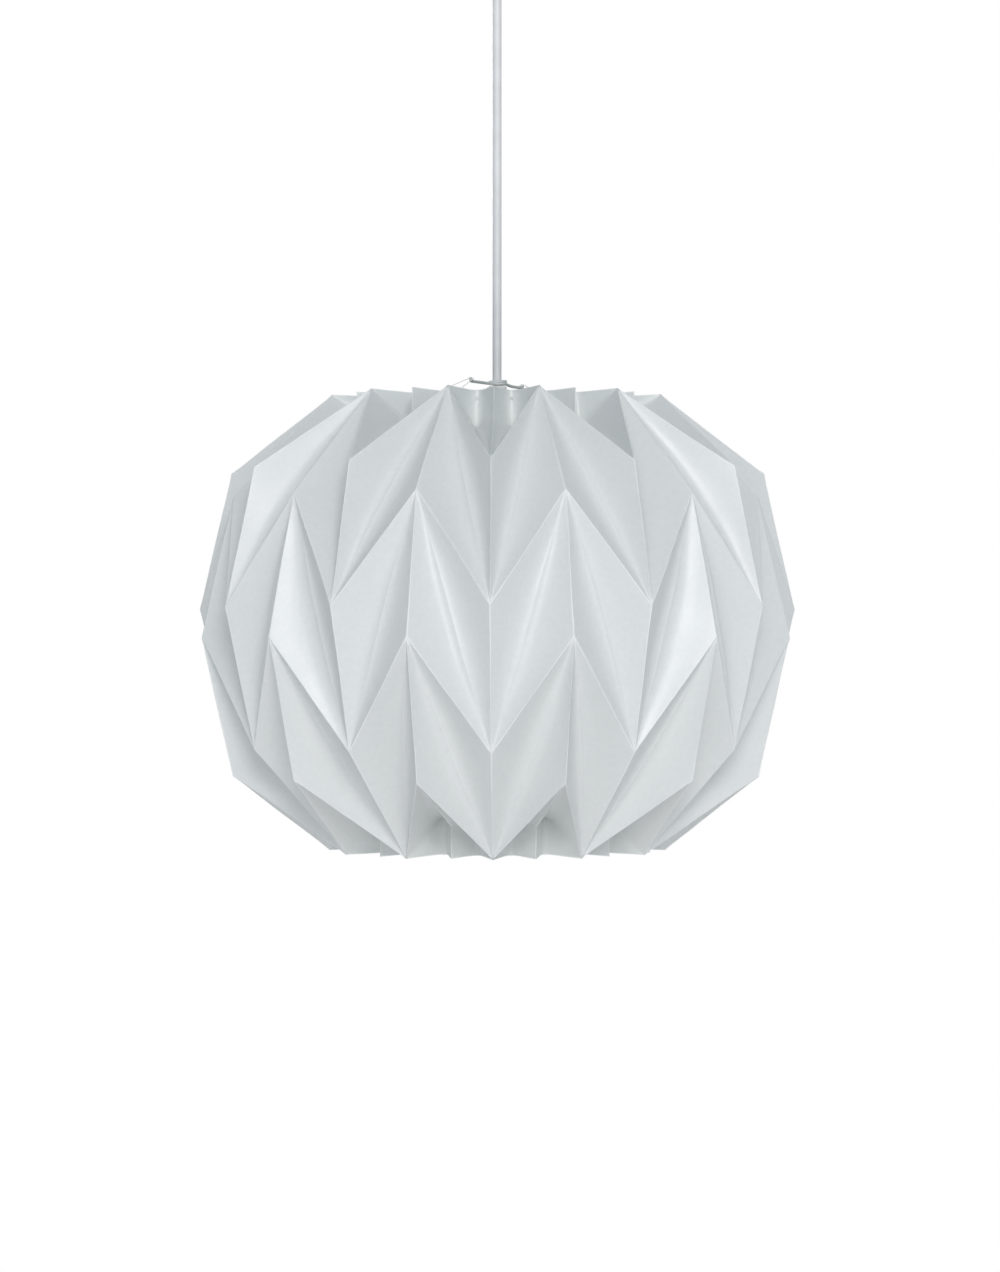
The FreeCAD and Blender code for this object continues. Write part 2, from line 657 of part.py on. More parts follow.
def glass_form(name, shrink, foot, height):
    """A ball drawn up into a neck by a cone that meets the ball's surface without a step."""
    ball = f"(size.bulb_radius - {shrink})"
    neck = f"(size.bulb_neck - {shrink})"
    lean = "(size.bulb_lean * 1 deg)"
    middle = f"({foot} + size.bulb_radius)"
    meet = f"({middle} + {ball} * sin{lean})"
    rise = f"(({ball} * cos{lean} - {neck}) / tan{lean})"
    slope = {"Radius1": f"{ball} * cos{lean}", "Radius2": neck, "Height": rise}
    return fuse(f"glass_{name}", [
        primitive("Sphere", f"glass_ball_{name}", {"Radius": ball}, z=middle),
        primitive("Cone", f"glass_cone_{name}", slope, z=meet),
        cylinder(f"glass_neck_{name}", neck, f"{foot} + {height} - {meet} - {rise}", z=f"{meet} + {rise}"),
    ])


# ---------- carrier and thread ----------


def polar(radius, degrees, height):
    """A point of the shade: degrees round from column 0, which faces -Y; height from the mid-plane."""
    angle = math.radians(degrees)
    z = height - value("size.shade_drop")
    return FreeCAD.Vector(radius * math.sin(angle), -radius * math.cos(angle), z)


def carrier_wire():
    """An eye round the flex with two straight arms, each turned up at its end."""
    wire = "size.wire_diameter / 2"
    eye = primitive("Torus", "eye", {"Radius1": "size.eye_radius", "Radius2": wire}, z=CARRIER)
    pieces = [eye]
    height = value(f"{CARRIER} + size.shade_drop")
    reach = value("size.carrier_reach")
    hook = value("size.carrier_hook")
    for number, turn in enumerate((0, 180)):
        degrees = value("size.carrier_turn") + turn
        route = [
            polar(value("size.eye_radius"), degrees, height),
            polar(reach, degrees, height),
            polar(reach, degrees, height + hook),
        ]
        pieces.append(tube(f"arm_{number}", route, value(wire)))
    node("carrier_wire", fuse("carrier", pieces))


def draw_thread():
    """The thread runs round through every pleat, and is lifted onto each hook of the carrier."""
    count = int(value("size.fold_count"))
    radius = value("size.thread_radius")
    height = value("size.rim_height - size.thread_sink")
    turn = value("size.pleat_turn")
    step = 360 / count
    hook_height = value(f"{CARRIER} + size.shade_drop + size.wire_diameter / 2")
    # the two spans across the arm pass the upturned end at 45 degrees
    beside = value("size.wire_diameter / 2 + size.thread_diameter / 2 + size.fit") * math.sqrt(2)
    above = hook_height + value("size.thread_diameter / 2 + size.fit")
    reach = value("size.carrier_reach")
    aside = math.degrees(math.atan2(beside, reach))
    hooked = {round(value("size.carrier_turn") + turn_by) % 360 for turn_by in (0, 180)}
    points = []
    for number in range(count):
        ridge = number * step
        points.append(polar(radius, ridge - turn, height))
        if round(ridge) % 360 in hooked:
            points.append(polar(reach, ridge - aside, above))
            points.append(polar(reach - beside, ridge, above))
            points.append(polar(reach, ridge + aside, above))
        points.append(polar(radius, ridge + turn, height))
    thin = value("size.thread_diameter / 2")
    spans = []
    for start, end in zip(points, points[1:] + points[:1]):
        spans.append(Part.makeCylinder(thin, (end - start).Length, start, end - start))
        spans.append(Part.makeSphere(thin, start))
    item = doc.addObject("Part::Feature", "thread")
    item.Shape = spans[0].multiFuse(spans[1:])
    node("draw_thread", item)
    print(f"draw_thread: loop of {sum((b - a).Length for a, b in zip(points, points[1:] + points[:1])):.0f}")


# ---------- folded paper ----------


def fold_corners():
    """Radius and height of each named corner of the upper half; the lower half mirrors it."""
    return {
        "rim": (value("size.rim_radius"), value("size.rim_height")),
        "shoulder_high": (value("size.shoulder_radius"), value("size.shoulder_high")),
        "shoulder_low": (value("size.shoulder_radius"), value("size.shoulder_low")),
        "waist": (value("size.waist_radius"), value("size.waist_height")),
        "flap": (value("size.flap_radius"), value("size.rim_height")),
        "flap_knee": (value("size.flap_radius"), value("size.flap_knee")),
        "pleat": (value("size.pleat_radius"), value("size.rim_height - size.pleat_sink")),
        "pleat_knee": (value("size.pleat_radius + size.pleat_spread"), value("size.pleat_knee")),
    }


def half_repeat(corners, column, side, flip):
    """Triangles between an even column and its odd neighbour; flip gives the mirrored lower half."""
    step = 180 / value("size.fold_count")
    pleat = value("size.pleat_turn")

    def at(name, offset):
        radius, height = corners[name]
        return polar(radius, column + side * offset, -height if flip else height)

    tip, low = at("rim", step), at("shoulder_low", step)
    high, wide = at("shoulder_high", 0), at("waist", 0)
    low_radius, low_height = corners["shoulder_low"]
    far = polar(low_radius, column, low_height if flip else -low_height)
    ridge, knee = at("flap", 0), at("flap_knee", 0)
    crease, crease_knee = at("pleat", pleat), at("pleat_knee", pleat)
    faces = [
        (tip, high, wide), (tip, low, wide), (low, wide, far),
        (tip, high, crease_knee), (tip, crease_knee, crease), (crease, crease_knee, knee),
        (crease, knee, ridge), (crease_knee, high, knee),
    ]
    return faces


def key_of(point):
    return (round(point.x, 3), round(point.y, 3), round(point.z, 3))


def outward_faces(faces):
    """Corner keys of each triangle, wound alike over the whole sheet, with the outside outward."""
    points = {}
    triangles = []
    for face in faces:
        keys = [key_of(point) for point in face]
        points.update(zip(keys, face))
        triangles.append(keys)
    by_edge = {}
    for number, keys in enumerate(triangles):
        for a, b in zip(keys, keys[1:] + keys[:1]):
            by_edge.setdefault(frozenset((a, b)), []).append(number)
    done = {0}
    queue = [0]
    while queue:
        number = queue.pop()
        keys = triangles[number]
        for a, b in zip(keys, keys[1:] + keys[:1]):
            for other in by_edge[frozenset((a, b))]:
                if other in done:
                    continue
                near = triangles[other]
                if (a, b) in list(zip(near, near[1:] + near[:1])):
                    triangles[other] = near[::-1]
                done.add(other)
                queue.append(other)
    first = [points[key] for key in triangles[0]]
    normal = (first[1] - first[0]).cross(first[2] - first[0])
    if normal.x * first[0].x + normal.y * first[0].y < 0:
        triangles = [keys[::-1] for keys in triangles]
    return points, triangles


def paper_shell(faces):
    """A closed shell one paper thick: each corner is also set in along its own normal."""
    thick = value("size.paper")
    points, triangles = outward_faces(faces)
    normals = {key: [] for key in points}
    for keys in triangles:
        a, b, c = (points[key] for key in keys)
        normal = (b - a).cross(c - a).normalize()
        for key in keys:
            normals[key].append(normal)
    inner = {}
    for key, around in normals.items():
        mean = FreeCAD.Vector()
        for normal in around:
            mean += normal
        mean.normalize()
        lean = sum(mean.dot(normal) for normal in around) / len(around)
        inner[key] = points[key] - mean * (thick / max(lean, 0.45))
    shell = []
    for keys in triangles:
        outside = [points[key] for key in keys]
        inside = [inner[key] for key in reversed(keys)]
        shell.append(outside)
        shell.append(inside)
    used = {}
    for keys in triangles:
        for a, b in zip(keys, keys[1:] + keys[:1]):
            used[(a, b)] = used.get((a, b), 0) + 1
    for a, b in used:
        if (b, a) not in used:
            shell.append([points[a], inner[a], points[b]])
            shell.append([points[b], inner[a], inner[b]])
    made = [Part.Face(Part.makePolygon([*corners, corners[0]])) for corners in shell]
    solid = Part.makeSolid(Part.makeShell(made))
    if solid.Volume < 0:
        solid.reverse()
    return solid


def paper_sheets():
    """Two sheets, each half way round, that meet on an odd column at either side of the shade."""
    corners = fold_corners()
    count = int(value("size.fold_count"))
    step = 360 / count
    hole = Part.makeTorus(
        value("size.thread_radius"), value("size.thread_hole / 2"),
        FreeCAD.Vector(0, 0, value(f"{RIM} - size.thread_sink")), FreeCAD.Vector(0, 0, 1),
    )
    for name, first in (("paper_sheet_front", -count // 4), ("paper_sheet_back", count // 4)):
        seam = (first + 0.5) * step
        faces = half_repeat(corners, seam, 1, True) + half_repeat(corners, seam + 180, -1, True)
        for number in range(count // 2):
            odd = seam + number * step
            for side in (-1, 1):
                faces += half_repeat(corners, odd + step / 2, side, False)
                if number:
                    faces += half_repeat(corners, odd, side, True)
        item = doc.addObject("Part::Feature", name)
        item.Shape = paper_shell(faces).cut(hole)
        node(name, item)
        print(f"{name}: volume {item.Shape.Volume:.0f}, solids {len(item.Shape.Solids)}")


# ---------- build, check and write ----------


def check_and_write():
    doc.recompute()
    for item in doc.Objects:
        if "Invalid" in item.State or "Error" in item.State:
            raise RuntimeError(f"{item.Label} is {item.State}")
    for name, item in nodes.items():
        shape = item.Shape
        if shape.isNull() or not shape.isValid() or not shape.Solids:
            raise RuntimeError(f"{name} has no valid solid")
    os.makedirs("parts", exist_ok=True)
    for name, item in nodes.items():
        item.Shape.exportStep(f"parts/{name}.step")
        low, high = item.Shape.BoundBox.ZMin, item.Shape.BoundBox.ZMax
        count = len(item.Shape.Solids)
        print(f"{name}: {count} solid(s), {item.Shape.Volume:.0f} mm3, z {low:.1f} to {high:.1f}")


ceiling_bracket()
terminal_block()
canopy()
canopy_screws()
cord_gland()
swing_bush()
flex()
lampholder()
bulb()
carrier_wire()
draw_thread()
paper_sheets()
check_and_write()
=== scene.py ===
import math
import random

import bmesh
import bpy
from mathutils import Matrix, Vector, noise


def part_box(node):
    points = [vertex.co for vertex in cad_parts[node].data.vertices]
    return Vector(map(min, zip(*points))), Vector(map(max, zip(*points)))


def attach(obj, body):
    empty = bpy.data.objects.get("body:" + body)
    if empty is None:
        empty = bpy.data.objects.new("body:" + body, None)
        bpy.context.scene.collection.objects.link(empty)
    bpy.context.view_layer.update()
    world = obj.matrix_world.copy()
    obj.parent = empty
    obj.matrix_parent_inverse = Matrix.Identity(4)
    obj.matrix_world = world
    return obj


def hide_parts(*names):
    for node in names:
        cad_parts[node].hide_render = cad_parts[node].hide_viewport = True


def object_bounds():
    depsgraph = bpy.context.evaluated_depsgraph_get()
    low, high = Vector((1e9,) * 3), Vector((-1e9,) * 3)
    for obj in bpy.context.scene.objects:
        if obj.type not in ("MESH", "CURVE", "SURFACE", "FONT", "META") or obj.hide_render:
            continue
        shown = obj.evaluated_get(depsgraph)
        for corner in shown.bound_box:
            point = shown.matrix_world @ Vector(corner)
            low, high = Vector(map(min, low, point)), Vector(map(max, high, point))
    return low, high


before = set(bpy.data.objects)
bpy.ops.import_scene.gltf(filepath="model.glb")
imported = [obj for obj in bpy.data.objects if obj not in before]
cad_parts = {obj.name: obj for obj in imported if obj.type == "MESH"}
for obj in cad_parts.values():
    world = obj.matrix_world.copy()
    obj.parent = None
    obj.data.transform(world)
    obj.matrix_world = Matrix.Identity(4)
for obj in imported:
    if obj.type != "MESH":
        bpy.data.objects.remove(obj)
cad_low, cad_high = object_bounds()

MM = 0.001

# The sizes that everything else is placed from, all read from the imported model
sheet_low, sheet_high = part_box("paper_sheet_front")
MIDDLE = (sheet_low.z + sheet_high.z) / 2
HALF = (sheet_high.z - sheet_low.z) / 2
WAIST = cad_high.x
wire_low, wire_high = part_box("carrier_wire")
cap_low, cap_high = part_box("holder_cap")
flex_low, flex_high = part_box("flex")
NECK_TOP = cap_high.z

# The shade's repeats, and the sizes of the thread and the carrier as the CAD model has them
FOLDS = 12
STEP = 360 / FOLDS
PLEAT_TURN = 7.8
THREAD_RADIUS = 83 * MM
THREAD_HEIGHT = HALF - 7 * MM
CARRIER_TURN = -30
CARRIER_REACH = 33.5 * MM
WIRE_RADIUS = 1 * MM
FLEX_DIAMETER = 6 * MM


# ---------- camera ----------


def make_camera():
    """The photograph's view: level with the shade, a little below its middle, long lens."""
    turn = math.radians(1.21)
    away = 2.227
    below = 24.8 * MM
    tilt_up = 16.7 * MM
    aside = 2 * MM
    place = Vector((away * math.sin(turn), -away * math.cos(turn), MIDDLE - below))
    right = Vector((math.cos(turn), math.sin(turn), 0))
    aim = Vector((0, 0, MIDDLE - below + tilt_up)) + right * aside
    data = bpy.data.cameras.new("camera")
    data.lens = 94.2
    data.sensor_width = 36
    data.clip_end = 60
    camera = bpy.data.objects.new("camera", data)
    camera.location = place
    camera.rotation_mode = "QUATERNION"
    camera.rotation_quaternion = (aim - place).to_track_quat("-Z", "Y")
    bpy.context.scene.collection.objects.link(camera)
    bpy.context.scene.camera = camera


make_camera()


# ---------- nodes and materials ----------


def add(tree, kind, settings=None, **inputs):
    """Adds a node; each input is a value or another node's socket. Spaces in names are written as _."""
    item = tree.nodes.new("ShaderNode" + kind)
    for key, what in (settings or {}).items():
        setattr(item, key, what)
    for key, what in inputs.items():
        socket = item.inputs[int(key[2:])] if key.startswith("at") else item.inputs[key.replace("_", " ")]
        if isinstance(what, bpy.types.NodeSocket):
            tree.links.new(what, socket)
        else:
            socket.default_value = what
    return item


def new_tree(name):
    """An empty material and its node tree."""
    made = bpy.data.materials.new(name)
    made.use_nodes = True
    made.node_tree.nodes.clear()
    return made, made.node_tree


def grain(tree, scale, detail=4.0, rough=0.6):
    """Noise in the piece's own space, in millimetres: scale is how many bumps there are to a millimetre."""
    place = add(tree, "TexCoord")
    mapped = add(tree, "Mapping", Vector=place.outputs["Object"])
    mapped.inputs["Scale"].default_value = [scale / MM] * 3
    item = add(tree, "TexNoise", Vector=mapped.outputs[0], Scale=1.0, Detail=detail, Roughness=rough)
    return item.outputs["Fac"]


def span(tree, socket, low, high, first=0.3, last=0.7):
    """Maps first..last onto low..high; the default is what most of a noise lies in."""
    item = add(tree, "MapRange", Value=socket)
    item.inputs["From Min"].default_value = first
    item.inputs["From Max"].default_value = last
    item.inputs["To Min"].default_value = low
    item.inputs["To Max"].default_value = high
    return item.outputs[0]


def tint(tree, share, low, high):
    """Goes from low to high as share rises; low is a colour, or the socket of one that is in the tree."""
    item = add(tree, "Mix", {"data_type": "RGBA"})
    tree.links.new(share, item.inputs["Factor"])
    first, second = [s for s in item.inputs if s.type == "RGBA"]
    if isinstance(low, bpy.types.NodeSocket):
        tree.links.new(low, first)
    else:
        first.default_value = (*low, 1)
    second.default_value = (*high, 1)
    return next(s for s in item.outputs if s.type == "RGBA")


def bump(tree, height, strength, distance, under=None):
    """A bump of this depth in millimetres, over another where one is given."""
    item = add(tree, "Bump", Height=height, Strength=strength, Distance=distance * MM)
    if under is not None:
        tree.links.new(under, item.inputs["Normal"])
    return item.outputs[0]


def finish_material(made, tree, shader):
    """Joins the shader to the material's output."""
    out = tree.nodes.new("ShaderNodeOutputMaterial")
    tree.links.new(shader, out.inputs["Surface"])
    return made


def paper_material():
    """Coated white card: fine fibres, a faint cockle, a painted highlight on its ridges, a little light
    through it.
    """
    made, tree = new_tree("folded_paper")
    fibres = grain(tree, 2.2, 6, 0.7)
    felt = grain(tree, 0.35, 3, 0.5)
    cloud = grain(tree, 0.03, 2, 0.5)
    flat = tint(tree, span(tree, felt, 0, 1), (0.842, 0.853, 0.856), (0.878, 0.886, 0.888))
    # painted highlight: the colour turns paler where the surface is pointed, along the ridges, in place of
    # the light that the folds catch
    ridge = span(tree, add(tree, "NewGeometry").outputs["Pointiness"], 0, 1, 0.51, 0.52)
    colour = tint(tree, ridge, flat, (0.97, 0.975, 0.975))
    both = bump(tree, fibres, 0.22, 0.06, bump(tree, felt, 0.25, 0.12))
    body = add(tree, "BsdfPrincipled", Base_Color=colour, Roughness=span(tree, cloud, 0.32, 0.4), Normal=both,
               IOR=1.5)
    body.inputs["Specular IOR Level"].default_value = 0.65
    through = add(tree, "BsdfTranslucent", Color=(0.8, 0.93, 0.75, 1), Normal=both)
    mix = add(tree, "MixShader", at1=body.outputs[0], at2=through.outputs[0])
    mix.inputs[0].default_value = 0.16
    return finish_material(made, tree, mix.outputs[0])


def plain_material(name, low, high, rough, size=0.6, depth=0.03, metal=0.0, coat=0.0):
    """Noise-driven colour, roughness and bump for moulded, painted, plated or turned pieces."""
    made, tree = new_tree(name)
    fine = grain(tree, size, 4, 0.6)
    cloud = grain(tree, 0.05, 3, 0.55)
    colour = tint(tree, span(tree, cloud, 0, 1), low, high)
    body = add(tree, "BsdfPrincipled", Base_Color=colour, Roughness=span(tree, fine, *rough),
               Normal=bump(tree, fine, 0.35, depth), IOR=1.46)
    body.inputs["Metallic"].default_value = metal
    body.inputs["Coat Weight"].default_value = coat
    body.inputs["Coat Roughness"].default_value = 0.15
    return finish_material(made, tree, body.outputs[0])


def opal_material():
    """Opal glass: white through its thickness, glossy outside."""
    made, tree = new_tree("opal_glass")
    swirl = grain(tree, 0.08, 3, 0.5)
    colour = tint(tree, span(tree, swirl, 0, 1), (0.86, 0.87, 0.86), (0.9, 0.9, 0.89))
    body = add(tree, "BsdfPrincipled", Base_Color=colour, Roughness=span(tree, swirl, 0.1, 0.18),
               Normal=bump(tree, swirl, 0.1, 0.1), IOR=1.5)
    body.inputs["Coat Weight"].default_value = 0.4
    body.inputs["Coat Roughness"].default_value = 0.05
    through = add(tree, "BsdfTranslucent", Color=(0.9, 0.9, 0.88, 1))
    mix = add(tree, "MixShader", at1=body.outputs[0], at2=through.outputs[0])
    mix.inputs[0].default_value = 0.35
    return finish_material(made, tree, mix.outputs[0])


PAPER = paper_material()
SHEATH = plain_material("flex_pvc", (0.69, 0.69, 0.695), (0.76, 0.76, 0.765), (0.3, 0.46), 1.2, 0.02)
PLASTIC = plain_material("holder_plastic", (0.8, 0.81, 0.8), (0.85, 0.85, 0.84), (0.3, 0.42), 1.5, 0.012)
PAINT = plain_material("canopy_paint", (0.8, 0.81, 0.82), (0.86, 0.86, 0.86), (0.34, 0.46), 0.9, 0.03,
                       coat=0.25)
NYLON = plain_material("gland_nylon", (0.76, 0.76, 0.74), (0.82, 0.82, 0.8), (0.4, 0.52), 1.5, 0.015)
BLOCK = plain_material("block_plastic", (0.7, 0.7, 0.66), (0.78, 0.78, 0.74), (0.4, 0.55), 1.4, 0.02)
CERAMIC = plain_material("contact_ceramic", (0.78, 0.77, 0.73), (0.86, 0.85, 0.82), (0.2, 0.36), 0.9, 0.03)
BRASS = plain_material("brass_sheet", (0.72, 0.5, 0.2), (0.8, 0.6, 0.28), (0.22, 0.4), 2.0, 0.01, metal=1.0)
NICKEL = plain_material("nickel_plate", (0.62, 0.6, 0.56), (0.72, 0.7, 0.66), (0.18, 0.32), 2.0, 0.008,
                        metal=1.0)
ZINC = plain_material("zinc_plate", (0.42, 0.44, 0.46), (0.56, 0.57, 0.58), (0.45, 0.62), 0.7, 0.02,
                      metal=1.0)
STEEL = plain_material("screw_steel", (0.5, 0.5, 0.5), (0.62, 0.62, 0.61), (0.24, 0.42), 2.4, 0.01, metal=1.0)
WIRE = plain_material("carrier_steel", (0.56, 0.59, 0.57), (0.7, 0.72, 0.71), (0.3, 0.45), 1.5, 0.012,
                      metal=0.1)
COTTON = plain_material("draw_thread_cotton", (0.82, 0.82, 0.81), (0.92, 0.92, 0.91), (0.75, 0.95), 3.5, 0.08)
BROWN = plain_material("core_brown", (0.11, 0.05, 0.025), (0.15, 0.07, 0.035), (0.35, 0.5), 1.2, 0.02)
BLUE = plain_material("core_blue", (0.03, 0.1, 0.3), (0.045, 0.14, 0.38), (0.35, 0.5), 1.2, 0.02)
OPAL = opal_material()
STEM = plain_material("stem_glass", (0.7, 0.72, 0.7), (0.8, 0.82, 0.8), (0.05, 0.12), 0.5, 0.01)
INSULATOR = plain_material("cap_insulator", (0.02, 0.02, 0.022), (0.04, 0.04, 0.045), (0.12, 0.3), 1.0, 0.02)
FILAMENT = plain_material("filament_phosphor", (0.8, 0.5, 0.12), (0.9, 0.62, 0.2), (0.5, 0.7), 2.0, 0.03)


# ---------- mesh helpers ----------


def belong(item, node, body):
    """Hides the CAD node that the piece is drawn in place of, and puts the piece on its body."""
    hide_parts(node)
    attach(item, body)


def new_piece(name, points, faces, material):
    """A smooth-shaded mesh object from points in metres and faces that list them."""
    mesh = bpy.data.meshes.new(name)
    mesh.from_pydata([tuple(p) for p in points], [], faces)
    mesh.validate()
    mesh.materials.append(material)
    mesh.polygons.foreach_set("use_smooth", [True] * len(mesh.polygons))
    item = bpy.data.objects.new(name, mesh)
    bpy.context.scene.collection.objects.link(item)
    return item


def sharpen(item, degrees=38):
    """Keeps edges hard where the surface turns more than this."""
    mesh = item.data
    bm = bmesh.new()
    bm.from_mesh(mesh)
    bmesh.ops.recalc_face_normals(bm, faces=bm.faces)
    for edge in bm.edges:
        if len(edge.link_faces) == 2:
            edge.smooth = edge.calc_face_angle(0) < math.radians(degrees)
    bm.to_mesh(mesh)
    bm.free()
    return item


def rounded(profile, radius, steps=3):
    """Corners of a closed profile cut to small arcs, so that edges catch the light."""
    made = []
    count = len(profile)
    for number, corner in enumerate(profile):
        here = Vector(corner)
        before = Vector(profile[number - 1]) - here
        after = Vector(profile[(number + 1) % count]) - here
        turn = before.angle(after, math.pi)
        cut = min(radius, before.length * 0.4, after.length * 0.4)
        on_axis = here.x < 1e-7
        if on_axis or math.pi - turn < math.radians(12) or cut < 1e-6:
            made.append(tuple(here))
            continue
        start = here + before.normalized() * cut
        end = here + after.normalized() * cut
        for step in range(steps + 1):
            share = step / steps
            low = start.lerp(here, share)
            made.append(tuple(low.lerp(here.lerp(end, share), share)))
    return made


def lathe(name, profile, material, around=64, radius=0.3 * MM, shape=None):
    """Turns a closed (radius, height) profile round Z; shape(angle, r, z) may change r."""
    outline = rounded(profile, radius)
    points = []
    rings = []
    for r, z in outline:
        if r < 1e-7:
            rings.append([len(points)])
            points.append((0, 0, z))
            continue
        ring = []
        for number in range(around):
            angle = math.tau * number / around
            reach = shape(angle, r, z) if shape else r
            ring.append(len(points))
            points.append((reach * math.cos(angle), reach * math.sin(angle), z))
        rings.append(ring)
    faces = []
    for low, high in zip(rings, rings[1:] + rings[:1]):
        if len(low) == 1 and len(high) == 1:
            continue
        for number in range(around):
            after = (number + 1) % around
            if len(low) == 1:
                faces.append((low[0], high[after], high[number]))
            elif len(high) == 1:
                faces.append((low[number], low[after], high[0]))
            else:
                faces.append((low[number], low[after], high[after], high[number]))
    return sharpen(new_piece(name, points, faces, material))


def sweep(name, route, section, material, closed=False, twist=0.0):
    """Carries a section (list of (across, up)) along route; twist is radians per metre."""
    count = len(route)
    tangents = []
    for number in range(count):
        if closed:
            way = route[(number + 1) % count] - route[number - 1]
        else:
            way = route[min(number + 1, count - 1)] - route[max(number - 1, 0)]
        tangents.append(way.normalized())
    side = tangents[0].orthogonal().normalized()
    points = []
    gone = 0.0
    for number in range(count):
        if number:
            side = tangents[number - 1].rotation_difference(tangents[number]) @ side
            gone += (route[number] - route[number - 1]).length
        side = (side - tangents[number] * side.dot(tangents[number])).normalized()
        other = tangents[number].cross(side)
        angle = twist * gone
        for across, up in section:
            a = across * math.cos(angle) - up * math.sin(angle)
            u = across * math.sin(angle) + up * math.cos(angle)
            points.append(route[number] + side * a + other * u)
    size = len(section)
    faces = []
    for number in range(count if closed else count - 1):
        after = (number + 1) % count
        for edge in range(size):
            follow = (edge + 1) % size
            faces.append((number * size + edge, number * size + follow,
                          after * size + follow, after * size + edge))
    if not closed:
        faces.append(tuple(range(size))[::-1])
        faces.append(tuple(range((count - 1) * size, count * size)))
    return new_piece(name, points, faces, material)


def ring_section(radius, sides):
    """A round section for sweep."""
    angles = [math.tau * number / sides for number in range(sides)]
    return [(radius * math.cos(angle), radius * math.sin(angle)) for angle in angles]


def bend_through(corners, radius, steps=6):
    """A route of straight runs with each corner rounded by a bend of about this radius."""
    route = [corners[0]]
    for before, here, after in zip(corners, corners[1:], corners[2:]):
        cut = min(radius, (before - here).length * 0.45, (after - here).length * 0.45)
        start = here + (before - here).normalized() * cut
        end = here + (after - here).normalized() * cut
        for step in range(steps + 1):
            share = step / steps
            route.append(start.lerp(here, share).lerp(here.lerp(end, share), share))
    route.append(corners[-1])
    return route


def smooth(x):
    """Eases from 0 to 1 as x does."""
    x = min(1.0, max(0.0, x))
    return x * x * (3 - 2 * x)


def polar(radius, degrees, height):
    """A point of the shade: degrees round from the ridge that faces -Y, height from the middle."""
    angle = math.radians(degrees)
    return Vector((radius * math.sin(angle), -radius * math.cos(angle), MIDDLE + height))


# ---------- flex ----------


def make_flex():
    """The round flex hangs straight from the gland to the lampholder."""
    curve = bpy.data.curves.new("round_flex", "CURVE")
    curve.dimensions = "3D"
    curve.bevel_depth = FLEX_DIAMETER / 2
    curve.bevel_resolution = 6
    curve.resolution_u = 24
    curve.use_fill_caps = True
    spline = curve.splines.new("NURBS")
    top = flex_high.z - 1 * MM  # its edge rises as it swings, so it stops short of the tail
    route = [(0, 0, flex_low.z), (0, 0, (flex_low.z + top) / 2), (0, 0, top)]
    spline.points.add(len(route) - 1)
    for point, place in zip(spline.points, route):
        point.co = (*place, 1)
    spline.order_u = 3
    spline.use_endpoint_u = True
    curve.materials.append(SHEATH)
    item = bpy.data.objects.new("round_flex", curve)
    bpy.context.scene.collection.objects.link(item)
    belong(item, "flex", "pendant")


# ---------- folded paper ----------

# corners of the fold: radius as a share of the waist's, height as a share of half the shade's
RIM = (0.5648, 1.0)
SHOULDER_HIGH = (0.896, 0.6653)
SHOULDER_LOW = (0.896, 0.541)
BELT = (1.0, 0.0642)
FLAP = (0.5276, 1.0)
FLAP_KNEE = (0.5276, 0.8664)
PLEAT = (0.397, 0.9894)
PLEAT_KNEE = (0.4121, 0.8135)

# half-widths of the rounding at each sort of fold, and how far the pleat's fades out at its lower end
SHARP = 0.9 * MM
SOFT_VALLEY = 15 * MM
PLEAT_VALLEY = 15 * MM
PLEAT_FADE = 70 * MM
BEND = 5 * MM

# how far the middle of each sort of facet stands out, and how much that differs among the outer ones
BELLY = {"gore": -1.5 * MM, "kite": -1.7 * MM, "belt": -1.4 * MM, "flap": -0.8 * MM, "pleat": 0.0}
OUTER = ("gore", "kite", "belt")
LEAN = 0.5 * MM

# how far the paper drifts from its true shape, by noise with this many swells to a metre, and its seed
DRIFT = 0.5 * MM
SWELLS = 22
DRIFT_SEED = 7

# the mesh of a facet: rings this far inside its folds, each with this many steps to a side
RINGS = [d * MM for d in (0.0, 0.45, 0.9, 1.8, 3.0, 4.3, 5.8, 7.5, 9.5, 12.0, 15.0)]
ALONG = 14

PAPER_THICK = 0.45 * MM
HOLE_RADIUS = 1.1 * MM


def half_repeat(column, side, flip):
    """Facets between an even column and its odd neighbour; flip gives the mirrored lower half."""

    def at(share, offset, up=1):
        return polar(share[0] * WAIST, column + side * offset, share[1] * HALF * up * (-1 if flip else 1))

    odd = STEP / 2
    tip, low, far = at(RIM, odd), at(SHOULDER_LOW, odd), at(SHOULDER_LOW, 0, -1)
    high, wide = at(SHOULDER_HIGH, 0), at(BELT, 0)
    ridge, knee = at(FLAP, 0), at(FLAP_KNEE, 0)
    crease, crease_knee = at(PLEAT, PLEAT_TURN), at(PLEAT_KNEE, PLEAT_TURN)
    return [  # pleat_crease picks its facets out of this list by number
        ("gore", (tip, high, wide)), ("kite", (tip, low, wide)), ("belt", (low, wide, far)),
        ("flap", (tip, high, crease_knee)), ("flap", (tip, crease_knee, crease)),
        ("pleat", (crease, crease_knee, knee)), ("pleat", (crease, knee, ridge)),
        ("pleat", (crease_knee, high, knee)),
    ]


def sheet_repeats(first):
    """The half repeats of one sheet, which runs half way round between two odd columns."""
    seam = (first + 0.5) * STEP
    repeats = [half_repeat(seam, 1, True), half_repeat(seam + 180, -1, True)]
    for number in range(FOLDS // 2):
        odd = seam + number * STEP
        for side in (-1, 1):
            repeats.append(half_repeat(odd + STEP / 2, side, False))
            if number:
                repeats.append(half_repeat(odd, side, True))
    return repeats


